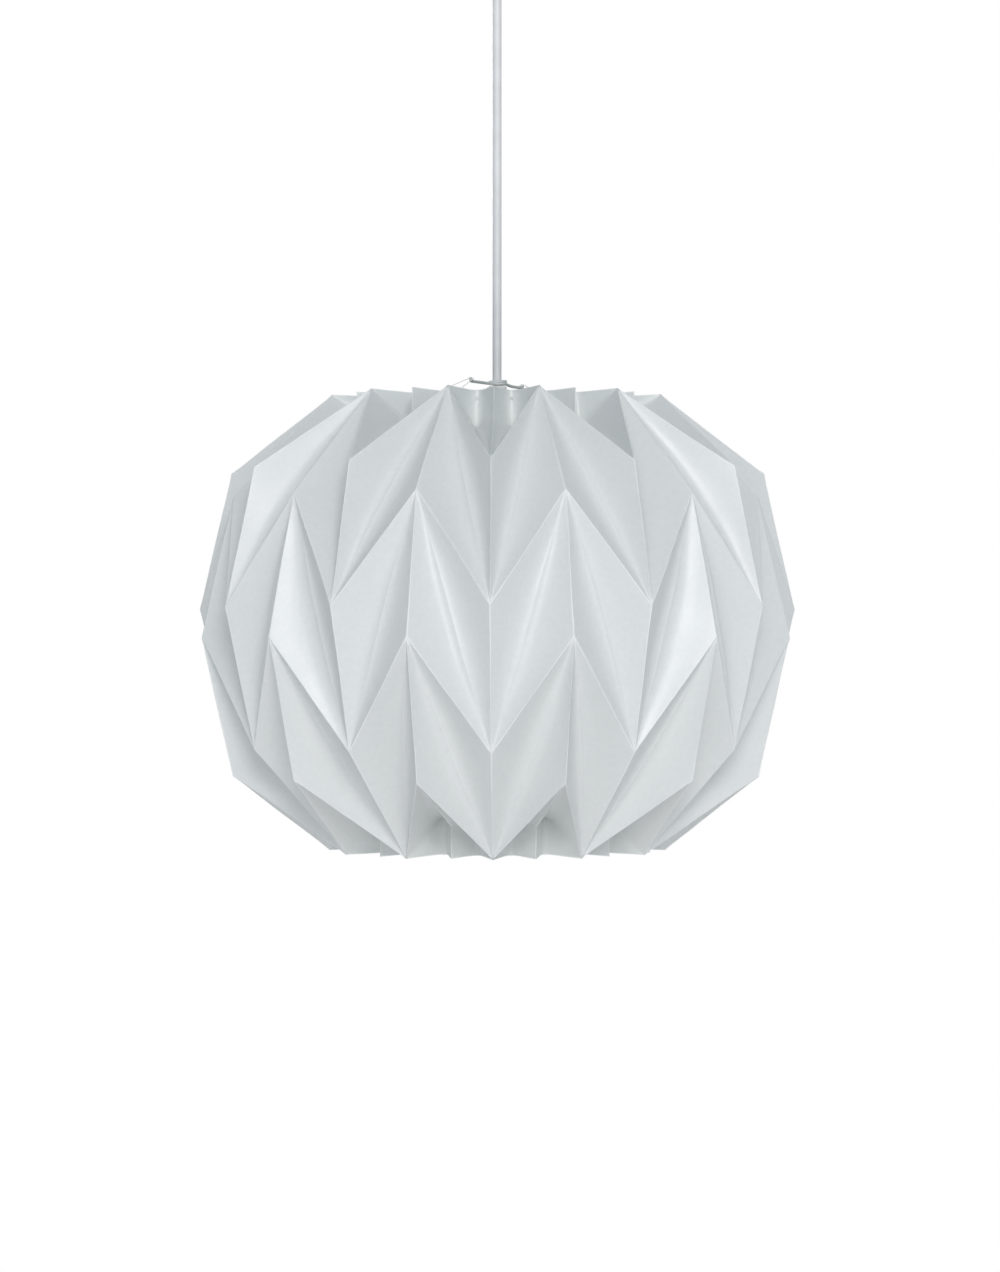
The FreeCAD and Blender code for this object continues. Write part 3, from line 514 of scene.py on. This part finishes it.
def coarse_sheet(repeats):
    """The flat-faced folded sheet, wound outward, with each face's kind and half repeat."""
    bm = bmesh.new()
    index = {}
    about = {}
    for group, facets in enumerate(repeats):
        for number, (kind, corners) in enumerate(facets):
            verts = []
            for corner in corners:
                key = tuple(round(c / MM * 20) for c in corner)
                if key not in index:
                    index[key] = bm.verts.new(corner)
                verts.append(index[key])
            about[bm.faces.new(verts)] = (kind, group, number)
    bmesh.ops.recalc_face_normals(bm, faces=bm.faces)
    out = 0.0
    for face in bm.faces:
        if about[face][0] in OUTER:
            centre = face.calc_center_median()
            out += face.normal.x * centre.x + face.normal.y * centre.y
    if out < 0:
        bmesh.ops.reverse_faces(bm, faces=bm.faces)
    return bm, about


def fold_of(edge, about):
    """What rounding a fold gets: half-width, and the way and share that its line moves."""
    if len(edge.link_faces) < 2:
        return 0.0, Vector()
    one, two = edge.link_faces
    (kind, group, _), (other_kind, other_group, _) = about[one], about[two]
    turn = edge.calc_face_angle_signed(0)
    middle = (one.normal + two.normal).normalized()
    if group == other_group and kind == other_kind:
        width = BEND
    elif turn > 0:
        width = SHARP
    else:
        width = SOFT_VALLEY if kind in OUTER else 0.0
    return width, -middle * math.sin(turn / 2)


def fold_move(place, corners, folds):
    """How far the roundings of a facet's three folds move a point of it."""
    away = []
    for number in range(3):
        start, end = corners[number], corners[(number + 1) % 3]
        run = end - start
        away.append((place - start).cross(run).length / run.length)
    move = Vector()
    for number, (width, way) in enumerate(folds):
        if width == 0:
            continue
        start, end = corners[number], corners[(number + 1) % 3]
        run = end - start
        along = (place - start).dot(run) / run.length
        reach = min(4.5 * width, 0.45 * run.length)
        local = width * smooth(along / reach) * smooth((run.length - along) / reach)
        distance = away[number]
        if distance >= local or local < 1e-6:
            continue
        others = min(away[(number + 1) % 3], away[(number + 2) % 3])
        share = 1.0 if distance < 1e-7 else others / (others + distance)
        move += way * (share * (local - distance) ** 3 / (3 * local**2))
    return move


def off_line(place, start, end):
    """Distance to a straight run, and how far along it the nearest point lies."""
    run = end - start
    along = min(run.length, max(0.0, (place - start).dot(run) / run.length))
    return (place - start - run.normalized() * along).length, along


# places in half_repeat's list of the facets round the soft crease
LOWER_FLAP, UPPER_FLAP, UPPER_PLEAT, RIDGE_PLEAT, LOWER_PLEAT = range(3, 8)


def pleat_crease(facets, normals):
    """The inner crease of a pleat, which is left soft: its two runs and the way each is pushed."""
    _, (tip, high, crease_knee) = facets[LOWER_FLAP]
    _, (crease, knee, ridge) = facets[RIDGE_PLEAT]
    ways = []
    for flap, pleat in ((UPPER_FLAP, UPPER_PLEAT), (LOWER_FLAP, LOWER_PLEAT)):
        both = normals[flap] + normals[pleat]
        ways.append(both.normalized() * math.sin(normals[flap].angle(normals[pleat]) / 2))
    return {"runs": [(crease, crease_knee), (crease_knee, high)], "ways": ways,
            "edges": [(tip, high), (ridge, knee), (knee, high)]}


def pleat_move(place, crease):
    """How far the soft crease moves a point of its flap or pleat."""
    (start, bend), (_, high) = crease["runs"]
    upper, along = off_line(place, start, bend)
    lower, beyond = off_line(place, bend, high)
    first, second = crease["ways"]
    length = (bend - start).length
    spot = along if upper < lower else length + beyond
    distance = min(upper, lower)
    width = PLEAT_VALLEY * smooth((length + (high - bend).length - spot) / PLEAT_FADE)
    if distance >= width:
        return Vector()
    room = min(off_line(place, a, b)[0] for a, b in crease["edges"])
    share = 1.0 if distance < 1e-7 else smooth(1.6 * room / (room + distance))
    way = first.lerp(second, smooth((spot - length) / (16 * MM) + 0.5))
    return way * (share * (width - distance) ** 3 / (3 * width**2))


def bow(kind, place, corners, area, lean):
    """How far a facet bellies in between its folds."""
    weights = []
    for number in range(3):
        b, c = corners[(number + 1) % 3], corners[(number + 2) % 3]
        weights.append((b - place).cross(c - place).length / 2 / area)
    bubble = 27 * weights[0] * weights[1] * weights[2]
    return bubble * (BELLY[kind] + lean)


def paper_surface(repeats, dice):
    """Points and faces of the folded sheet: in each facet, a web of rings that follows its folds."""
    bm, about = coarse_sheet(repeats)
    folds = {edge: fold_of(edge, about) for edge in bm.edges}
    index = {}
    points = []
    faces = []

    def point(flat, moved):
        key = tuple(round(c / MM * 50) for c in flat)
        if key not in index:
            index[key] = len(points)
            points.append([moved.copy(), 1])
        else:
            found = points[index[key]]
            found[0] += moved
            found[1] += 1
        return index[key]

    sides = {about[face][1:]: face.normal.copy() for face in bm.faces}
    creases = [pleat_crease(facets, {n: sides[group, n] for n in range(len(facets))})
               for group, facets in enumerate(repeats)]

    for face in bm.faces:
        kind, group, _ = about[face]
        corners = [vert.co.copy() for vert in face.verts]
        around = [folds[loop.edge] for loop in face.loops]
        a, b, c = corners
        area = (b - a).cross(c - a).length / 2
        la, lb, lc = (b - c).length, (c - a).length, (a - b).length
        whole = la + lb + lc
        centre = (a * la + b * lb + c * lc) / whole
        inradius = 2 * area / whole
        lean = dice.uniform(-1, 1) * LEAN if kind in OUTER else 0.0

        def placed(flat):
            moved = flat + fold_move(flat, corners, around)
            moved += face.normal * bow(kind, flat, corners, area, lean)
            if kind in ("flap", "pleat"):
                moved += pleat_move(flat, creases[group])
            return point(flat, moved)

        rings = []
        for distance in [d for d in RINGS if d < 0.88 * inradius]:
            scale = 1 - distance / inradius
            ring = []
            for start, end in ((a, b), (b, c), (c, a)):
                for step in range(ALONG):
                    base = start.lerp(end, step / ALONG)
                    ring.append(placed(centre + (base - centre) * scale))
            rings.append(ring)
        heart = placed(centre)
        size = 3 * ALONG
        for outer, inner in zip(rings, rings[1:]):
            for number in range(size):
                after = (number + 1) % size
                faces.append([outer[number], outer[after], inner[after], inner[number]])
        for number in range(size):
            faces.append([rings[-1][number], rings[-1][(number + 1) % size], heart])
    bm.free()
    return [total / count for total, count in points], faces


def punch(item):
    """Holes for the draw thread through every pleat, cut by a ring that follows the thread."""
    bpy.ops.mesh.primitive_torus_add(major_radius=THREAD_RADIUS, minor_radius=HOLE_RADIUS, major_segments=240,
                                     minor_segments=16, location=(0, 0, MIDDLE + THREAD_HEIGHT))
    ring = bpy.context.object
    cutter = item.modifiers.new("thread_holes", "BOOLEAN")
    cutter.operation = "DIFFERENCE"
    cutter.solver = "EXACT"
    cutter.object = ring
    depsgraph = bpy.context.evaluated_depsgraph_get()
    made = bpy.data.meshes.new_from_object(item.evaluated_get(depsgraph))
    item.modifiers.clear()
    item.data = made
    bpy.data.objects.remove(ring)


def make_sheet(name, node, first, seed):
    """One folded sheet, from the seam after column first and half way round, with its paper's thickness."""
    points, faces = paper_surface(sheet_repeats(first), random.Random(seed))
    noise.seed_set(DRIFT_SEED)  # the same for both sheets, so that they meet at the seams
    item = new_piece(name, [p + noise.noise_vector(p * SWELLS) * DRIFT for p in points], faces, PAPER)
    thick = item.modifiers.new("thickness", "SOLIDIFY")
    thick.thickness = PAPER_THICK
    thick.offset = -1
    thick.use_even_offset = False
    thick.use_rim = True
    punch(item)
    belong(item, node, "shade")


# ---------- carrier and thread ----------


def make_carrier():
    """One bent wire: upturned end, arm, one and a third turns round the flex, arm, upturned end."""
    height = wire_low.z + WIRE_RADIUS - MIDDLE
    top = wire_high.z - MIDDLE
    turn = CARRIER_TURN
    bend = 1.6 * MM
    eye = 5.8 * MM
    near = 9.5 * MM
    first, last, steps = 30, 510, 40
    rise = 2.1 * MM
    cross = 1.6 * MM
    route = bend_through([polar(CARRIER_REACH, turn, top), polar(CARRIER_REACH, turn, height),
                          polar(near, turn, height)], bend)
    for step in range(steps + 1):
        share = step / steps
        route.append(polar(eye, turn + first + (last - first) * share, height + rise * share))
    route.append(polar(near, turn + 180, height + cross))
    route += bend_through([polar(near * 1.8, turn + 180, height), polar(CARRIER_REACH, turn + 180, height),
                           polar(CARRIER_REACH, turn + 180, top)], bend)
    for _ in range(2):  # each pass cuts every corner of the route
        finer = [route[0]]
        for start, end in zip(route, route[1:]):
            finer += [start.lerp(end, 0.25), start.lerp(end, 0.75)]
        route = finer + [route[-1]]
    item = sweep("carrier_bent_wire", route, ring_section(WIRE_RADIUS, 14), WIRE)
    belong(item, "carrier_wire", "shade")


def make_thread():
    """Two-ply thread: a waisted section, twisted, led through the pleats and over the carrier's ends."""
    above = wire_low.z + 2 * WIRE_RADIUS - MIDDLE + 0.6 * MM
    beside = 1.6 * MM * math.sqrt(2)
    aside = math.degrees(math.atan2(beside, CARRIER_REACH))
    corners = []
    for number in range(FOLDS):
        ridge = number * STEP
        corners.append(polar(THREAD_RADIUS, ridge - PLEAT_TURN, THREAD_HEIGHT))
        if ridge % 180 == CARRIER_TURN % 180:
            corners.append(polar(CARRIER_REACH, ridge - aside, above))
            corners.append(polar(CARRIER_REACH - beside, ridge, above))
            corners.append(polar(CARRIER_REACH, ridge + aside, above))
        corners.append(polar(THREAD_RADIUS, ridge + PLEAT_TURN, THREAD_HEIGHT))
    route = []
    for start, end in zip(corners, corners[1:] + corners[:1]):
        steps = max(2, round((end - start).length / (0.5 * MM)))
        route += [start.lerp(end, step / steps) for step in range(steps)]
    section = []
    sides = 10
    thick, waist = 0.23, 0.08
    for number in range(sides):
        angle = math.tau * number / sides
        r = (thick + waist * math.cos(2 * angle)) * MM
        section.append((r * math.cos(angle), r * math.sin(angle)))
    lay = 2.4 * MM
    item = sweep("twisted_draw_thread", route, section, COTTON, closed=True, twist=math.tau / lay)
    belong(item, "draw_thread", "shade")


make_flex()
make_sheet("folded_sheet_front", "paper_sheet_front", -3, 11)
make_sheet("folded_sheet_back", "paper_sheet_back", 3, 23)
make_carrier()
make_thread()


# ---------- ceiling rose, lampholder and bulb ----------


def arc(middle, radius, first, last, steps):
    """Part of an outline: an arc about a (radius, height) point, from first to last degrees."""
    made = []
    for step in range(steps + 1):
        angle = math.radians(first + (last - first) * step / steps)
        made.append((middle[0] + radius * math.cos(angle), middle[1] + radius * math.sin(angle)))
    return made


def rows(start, end, count):
    """Part of an outline: a straight run in even steps, both ends included."""
    return [tuple(Vector(start).lerp(Vector(end), step / count)) for step in range(count + 1)]


def flowing(points, steps=5):
    """Part of an outline: a smooth curve through the points."""
    made = []
    spots = [Vector(p) for p in points]
    spots = [spots[0] * 2 - spots[1]] + spots + [spots[-1] * 2 - spots[-2]]
    for a, b, c, d in zip(spots, spots[1:], spots[2:], spots[3:]):
        for step in range(steps):
            t = step / steps
            made.append(tuple((b * 2 + (c - a) * t + (a * 2 - b * 5 + c * 4 - d) * t**2
                               + (b * 3 - a - c * 3 + d) * t**3) / 2))
    return made + [tuple(spots[-2])]


def mm_outline(points, foot):
    """An outline given in millimetres from a foot height."""
    return [(x * MM, foot + y * MM) for x, y in points]


def thread_dip(angle, height, pitch, depth):
    """How far a thread's surface lies below its crest."""
    return depth * (0.5 - 0.5 * math.cos(math.tau * height / pitch + angle))


def make_canopy():
    """A spun cup: soft lower edge, flat floor, plain rim against the ceiling."""
    low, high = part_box("canopy")
    wide = high.x / MM
    tall = (high.z - low.z) / MM
    wall, hole, corner = 1.2, 5.1, 6
    outline = [(hole, 0)] + arc((wide - corner, corner), corner, -90, 0, 12)
    outline += [(wide, tall), (wide - wall, tall)]
    outline += arc((wide - corner, corner), corner - wall, 0, -90, 12) + [(hole, wall)]
    item = lathe("spun_canopy", mm_outline(outline, low.z), PAINT, 128)
    belong(item, "canopy", "ceiling_rose")


def make_canopy_screws():
    """Thumb screws: knurled head, domed face, threaded shank."""
    low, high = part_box("canopy_screws")
    height = (low.z + high.z) / 2
    head, shank = 4.5, 1.95
    face = high.x - 4 * MM
    outline = [(0, 4), (1.6, 4), (3.4, 3.8), (head, 3.2)] + rows((head, 3.0), (head, 0.7), 3)
    outline += [(4.0, 0), (shank, 0)] + rows((shank, -0.4), (shank, -12.4), 60) + [(1.5, -13), (0, -13)]

    def cutting(angle, r, z):
        if r > (head - 0.05) * MM and 0.6 * MM < z < 3.1 * MM:
            return r - 0.28 * MM * abs(math.sin(angle * 18))
        if abs(r - shank * MM) < 1e-6 and z < -0.5 * MM:
            return r - thread_dip(angle, z / MM, 0.7, 0.3) * MM
        return r

    for name, side in (("left", -1), ("right", 1)):
        item = lathe(f"thumb_screw_{name}", mm_outline(outline, 0), STEEL, 108, 0.25 * MM, cutting)
        turn = Matrix.Rotation(math.radians(90 * side), 4, "Y")
        item.data.transform(Matrix.Translation((side * face, 0, height)) @ turn)
        belong(item, "canopy_screws", "ceiling_rose")


def make_gland():
    """Moulded cord gland: threaded stem, scalloped flange, round body with a socket inside."""
    low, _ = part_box("cord_gland")
    flange, stem = 11, 5
    outline = [(5.3, 0), (7.5, 0), (9, 1.5), (9, 12), (flange, 12)] + rows((flange, 12.4), (flange, 14.6), 2)
    outline += [(flange, 15), (stem, 15)] + rows((stem, 15.3), (stem, 24.7), 60) + [(4.7, 25), (3.1, 25)]
    outline += [(3.1, 10.6), (6.3, 10.6), (6.3, 1.4), (5.3, 1.4)]

    def cutting(angle, r, z):
        up = (z - low.z) / MM
        if r > (flange - 0.5) * MM:
            return r - 0.55 * MM * (0.5 + 0.5 * math.cos(angle * 18)) ** 2
        if abs(r - stem * MM) < 1e-6 and up > 15.2:
            return r - thread_dip(angle, up, 1.5, 0.5) * MM
        return r

    belong(lathe("moulded_gland", mm_outline(outline, low.z), NYLON, 108, 0.3 * MM, cutting),
           "cord_gland", "ceiling_rose")


def make_holder_cap():
    """Moulded cap: neck, dome and a grooved foot."""
    outline = [(19, 0), (21, 0), (21, 2.6), (20.6, 2.9), (20.6, 3.5), (21, 3.8)]
    outline += flowing([(21, 10), (19.5, 18), (16, 25), (11, 30.5), (8, 32.9)], 6)
    outline += arc((8.5, 35.9), 2, 236, 180, 5) + [(6.5, 46.4)] + arc((5.5, 47), 1, 0, 90, 4)
    outline += [(3.1, 48), (3.1, 32), (6, 31)] + flowing([(10, 28), (14.5, 23), (17.6, 17), (19, 10)], 5)
    belong(lathe("moulded_cap", mm_outline(outline, cap_low.z), PLASTIC, 128, 0.25 * MM),
           "holder_cap", "pendant")


def make_grip_screw():
    """A slotted screw let into the front of the cap's neck."""
    outline = [(0, 0.5), (1.3, 0.45), (1.5, 0.2), (1.5, 0), (1.4, -3), (0, -3)]
    neck_radius = 6.5 * MM
    below_top = 6 * MM
    item = lathe("slotted_grip_screw", mm_outline(outline, 0), STEEL, 40, 0.1 * MM)
    for vertex in item.data.vertices:
        if vertex.co.z > 0.1 * MM and abs(vertex.co.y) < 0.3 * MM:
            vertex.co.z = 0.0
    turn = Matrix.Rotation(math.radians(90), 4, "X")
    item.data.transform(Matrix.Translation((0, -neck_radius, NECK_TOP - below_top)) @ turn)
    belong(item, "grip_screw", "pendant")


def make_holder_skirt():
    """Moulded sleeve with grip flutes, a collar under the cap and a foot turned in."""
    low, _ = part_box("holder_skirt")
    side = 19.8
    outline = [(16.4, 0), (19.2, 0), (side, 0.6)] + rows((side, 2), (side, 36), 34) + [(side, 37), (21, 37)]
    outline += [(21, 39.9), (18.9, 39.9), (18.9, 46), (17.2, 46), (17.2, 2), (16.4, 2)]

    def fluted(angle, r, z):
        up = (z - low.z) / MM
        if abs(r - side * MM) > 1e-6:
            return r
        fade = smooth((up - 3) / 3) * smooth((34 - up) / 3)
        return r - 0.7 * MM * fade * (0.5 + 0.5 * math.cos(angle * 30)) ** 1.5

    belong(lathe("fluted_skirt", mm_outline(outline, low.z), PLASTIC, 240, 0.3 * MM, fluted),
           "holder_skirt", "pendant")


def make_bulb():
    """Opal glass blown in one sweep from ball to neck."""
    low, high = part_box("bulb_glass")
    tall = (high.z - low.z) / MM
    ball_radius, neck_radius, glass = 30, 10.8, 0.8
    lean = 38
    shoulder = math.radians(lean)

    def wall(inset):
        ball, neck = ball_radius - inset, neck_radius - inset
        meet = Vector((ball * math.cos(shoulder), ball_radius + ball * math.sin(shoulder)))
        corner = Vector((neck, meet.y + (meet.x - neck) / math.tan(shoulder)))
        side = meet.lerp(corner, 0.45)
        above = Vector((neck, corner.y + 6))
        shares = [number / 8 for number in range(9)]
        blend = [tuple(side.lerp(corner, share).lerp(corner.lerp(above, share), share)) for share in shares]
        return arc((0, ball_radius), ball, -90, lean, 32) + blend + [(neck, tall)]

    outline = wall(0) + wall(glass)[::-1]
    item = lathe("blown_opal_glass", mm_outline(outline, low.z), OPAL, 96, 0.2 * MM)
    belong(item, "bulb_glass", "bulb")


def make_bulb_cap():
    """The bulb's cap, with its thread rolled into the sheet."""
    low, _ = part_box("bulb_cap")
    crest, pitch = 13.1, 3.62
    outline = [(12.6, 0), (crest, 0)] + rows((crest, 0.4), (crest, 21.6), 72) + [(crest, 22)]
    outline += [(12.1, 23), (9, 23), (9, 22.5), (11.6, 21.2), (11.6, 0.6)]

    def rolled(angle, r, z):
        up = (z - low.z) / MM
        if abs(r - crest * MM) > 1e-6:
            return r
        fade = smooth((up - 3) / 2) * smooth((20.5 - up) / 2)
        return r - thread_dip(angle, up, pitch, 0.95) * fade * MM

    belong(lathe("rolled_thread_cap", mm_outline(outline, low.z), NICKEL, 96, 0.2 * MM, rolled),
           "bulb_cap", "bulb")


make_canopy()
make_canopy_screws()
make_gland()
make_holder_cap()
make_grip_screw()
make_holder_skirt()
make_bulb()
make_bulb_cap()


# ---------- CAD nodes that stay ----------

KEPT = {
    "ceiling_bracket": ZINC, "terminal_block": BLOCK, "block_terminals": BRASS, "block_screws": STEEL,
    "gland_nut": NYLON, "flex_tail": SHEATH, "tail_core_live": BROWN, "tail_core_neutral": BLUE,
    "swing_bush": NYLON, "contact_block": CERAMIC, "contact_shell": BRASS, "centre_contact": BRASS,
    "holder_screws": STEEL, "holder_core_live": BROWN, "holder_core_neutral": BLUE, "bulb_tip": BRASS,
    "bulb_insulator": INSULATOR, "bulb_stem": STEM, "bulb_filaments": FILAMENT,
}
for node, material in KEPT.items():
    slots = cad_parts[node].data.materials
    slots.clear()
    slots.append(material)


# ---------- studio ----------


def stage_piece(name, shape, material, height=0.0):
    """A backdrop or floor that isn't part of the object; shape fills its empty mesh."""
    bm = bmesh.new()
    shape(bm)
    mesh = bpy.data.meshes.new(name)
    bm.to_mesh(mesh)
    bm.free()
    mesh.materials.append(material)
    item = bpy.data.objects.new(name, mesh)
    item.location.z = height
    bpy.context.scene.collection.objects.link(item)
    return item


def make_backdrop():
    """A white ball round everything, which only the camera sees."""
    white, tree = new_tree("backdrop_white")
    glow = add(tree, "Emission", Color=(1, 1, 1, 1), Strength=1.0)
    finish_material(white, tree, glow.outputs[0])

    def ball(bm):
        bmesh.ops.create_uvsphere(bm, u_segments=48, v_segments=24, radius=9.0)
        bmesh.ops.reverse_faces(bm, faces=bm.faces)

    backdrop = stage_piece("backdrop", ball, white)
    backdrop.visible_diffuse = False
    backdrop.visible_glossy = False
    backdrop.visible_transmission = False
    backdrop.visible_shadow = False
    return backdrop


def make_floor():
    """A pale floor well below the shade, which runs out into plain white."""
    pale, tree = new_tree("floor_white")
    place = add(tree, "TexCoord")
    far = add(tree, "VectorMath", {"operation": "LENGTH"})
    tree.links.new(place.outputs["Object"], far.inputs[0])
    share = add(tree, "MapRange", {"interpolation_type": "SMOOTHSTEP"}, Value=far.outputs["Value"])
    share.inputs["From Min"].default_value = 1.0
    share.inputs["From Max"].default_value = 4.5
    share.inputs["To Min"].default_value = 0.2
    speck = grain(tree, 0.02, 3)
    body = add(tree, "BsdfPrincipled", Base_Color=tint(tree, speck, (0.82, 0.83, 0.84), (0.86, 0.87, 0.87)),
               Roughness=0.7)
    edge = add(tree, "Emission", Color=(1, 1, 1, 1), Strength=1.0)
    both = add(tree, "MixShader", at0=share.outputs[0], at1=body.outputs[0], at2=edge.outputs[0])
    finish_material(pale, tree, both.outputs[0])

    def disc(bm):
        bmesh.ops.create_circle(bm, cap_ends=True, segments=96, radius=8.0)

    return stage_piece("floor", disc, pale, -3.3)


def make_air():
    """Plain colours, and a faint blue light from all round."""
    scene = bpy.context.scene
    scene.view_settings.view_transform = "Standard"
    scene.view_settings.look = "None"
    world = bpy.data.worlds.new("studio_air")
    scene.world = world
    world.use_nodes = True
    sky = world.node_tree.nodes["Background"]
    sky.inputs["Color"].default_value = (0.83, 0.91, 1.0, 1)
    sky.inputs["Strength"].default_value = 0.4


def make_lamp(name, place, size, power, colour):
    """A soft lamp aimed at the middle of the shade; place's height is from there too."""
    aim = Vector((0, 0, MIDDLE))
    data = bpy.data.lights.new(name, "AREA")
    data.shape = "RECTANGLE"
    data.size, data.size_y = size
    data.energy = power
    data.color = colour
    item = bpy.data.objects.new(name, data)
    item.location = aim + Vector(place)
    item.rotation_mode = "QUATERNION"
    item.rotation_quaternion = (-Vector(place)).to_track_quat("-Z", "Y")
    item.visible_camera = False
    bpy.context.scene.collection.objects.link(item)


make_air()
make_backdrop()
make_floor()
make_lamp("key_light", (0.4, -3.6, 1.35), (1.3, 1.3), 56, (1.0, 0.98, 0.96))
make_lamp("front_fill", (0.4, -4.5, 1.2), (7.0, 5.0), 38, (0.83, 0.905, 1.0))
make_lamp("back_light", (-1.1, 3.7, 1.5), (1.6, 1.6), 48, (1.0, 0.985, 0.96))


# ---------- the end -----------------------------

bpy.context.view_layer.update()
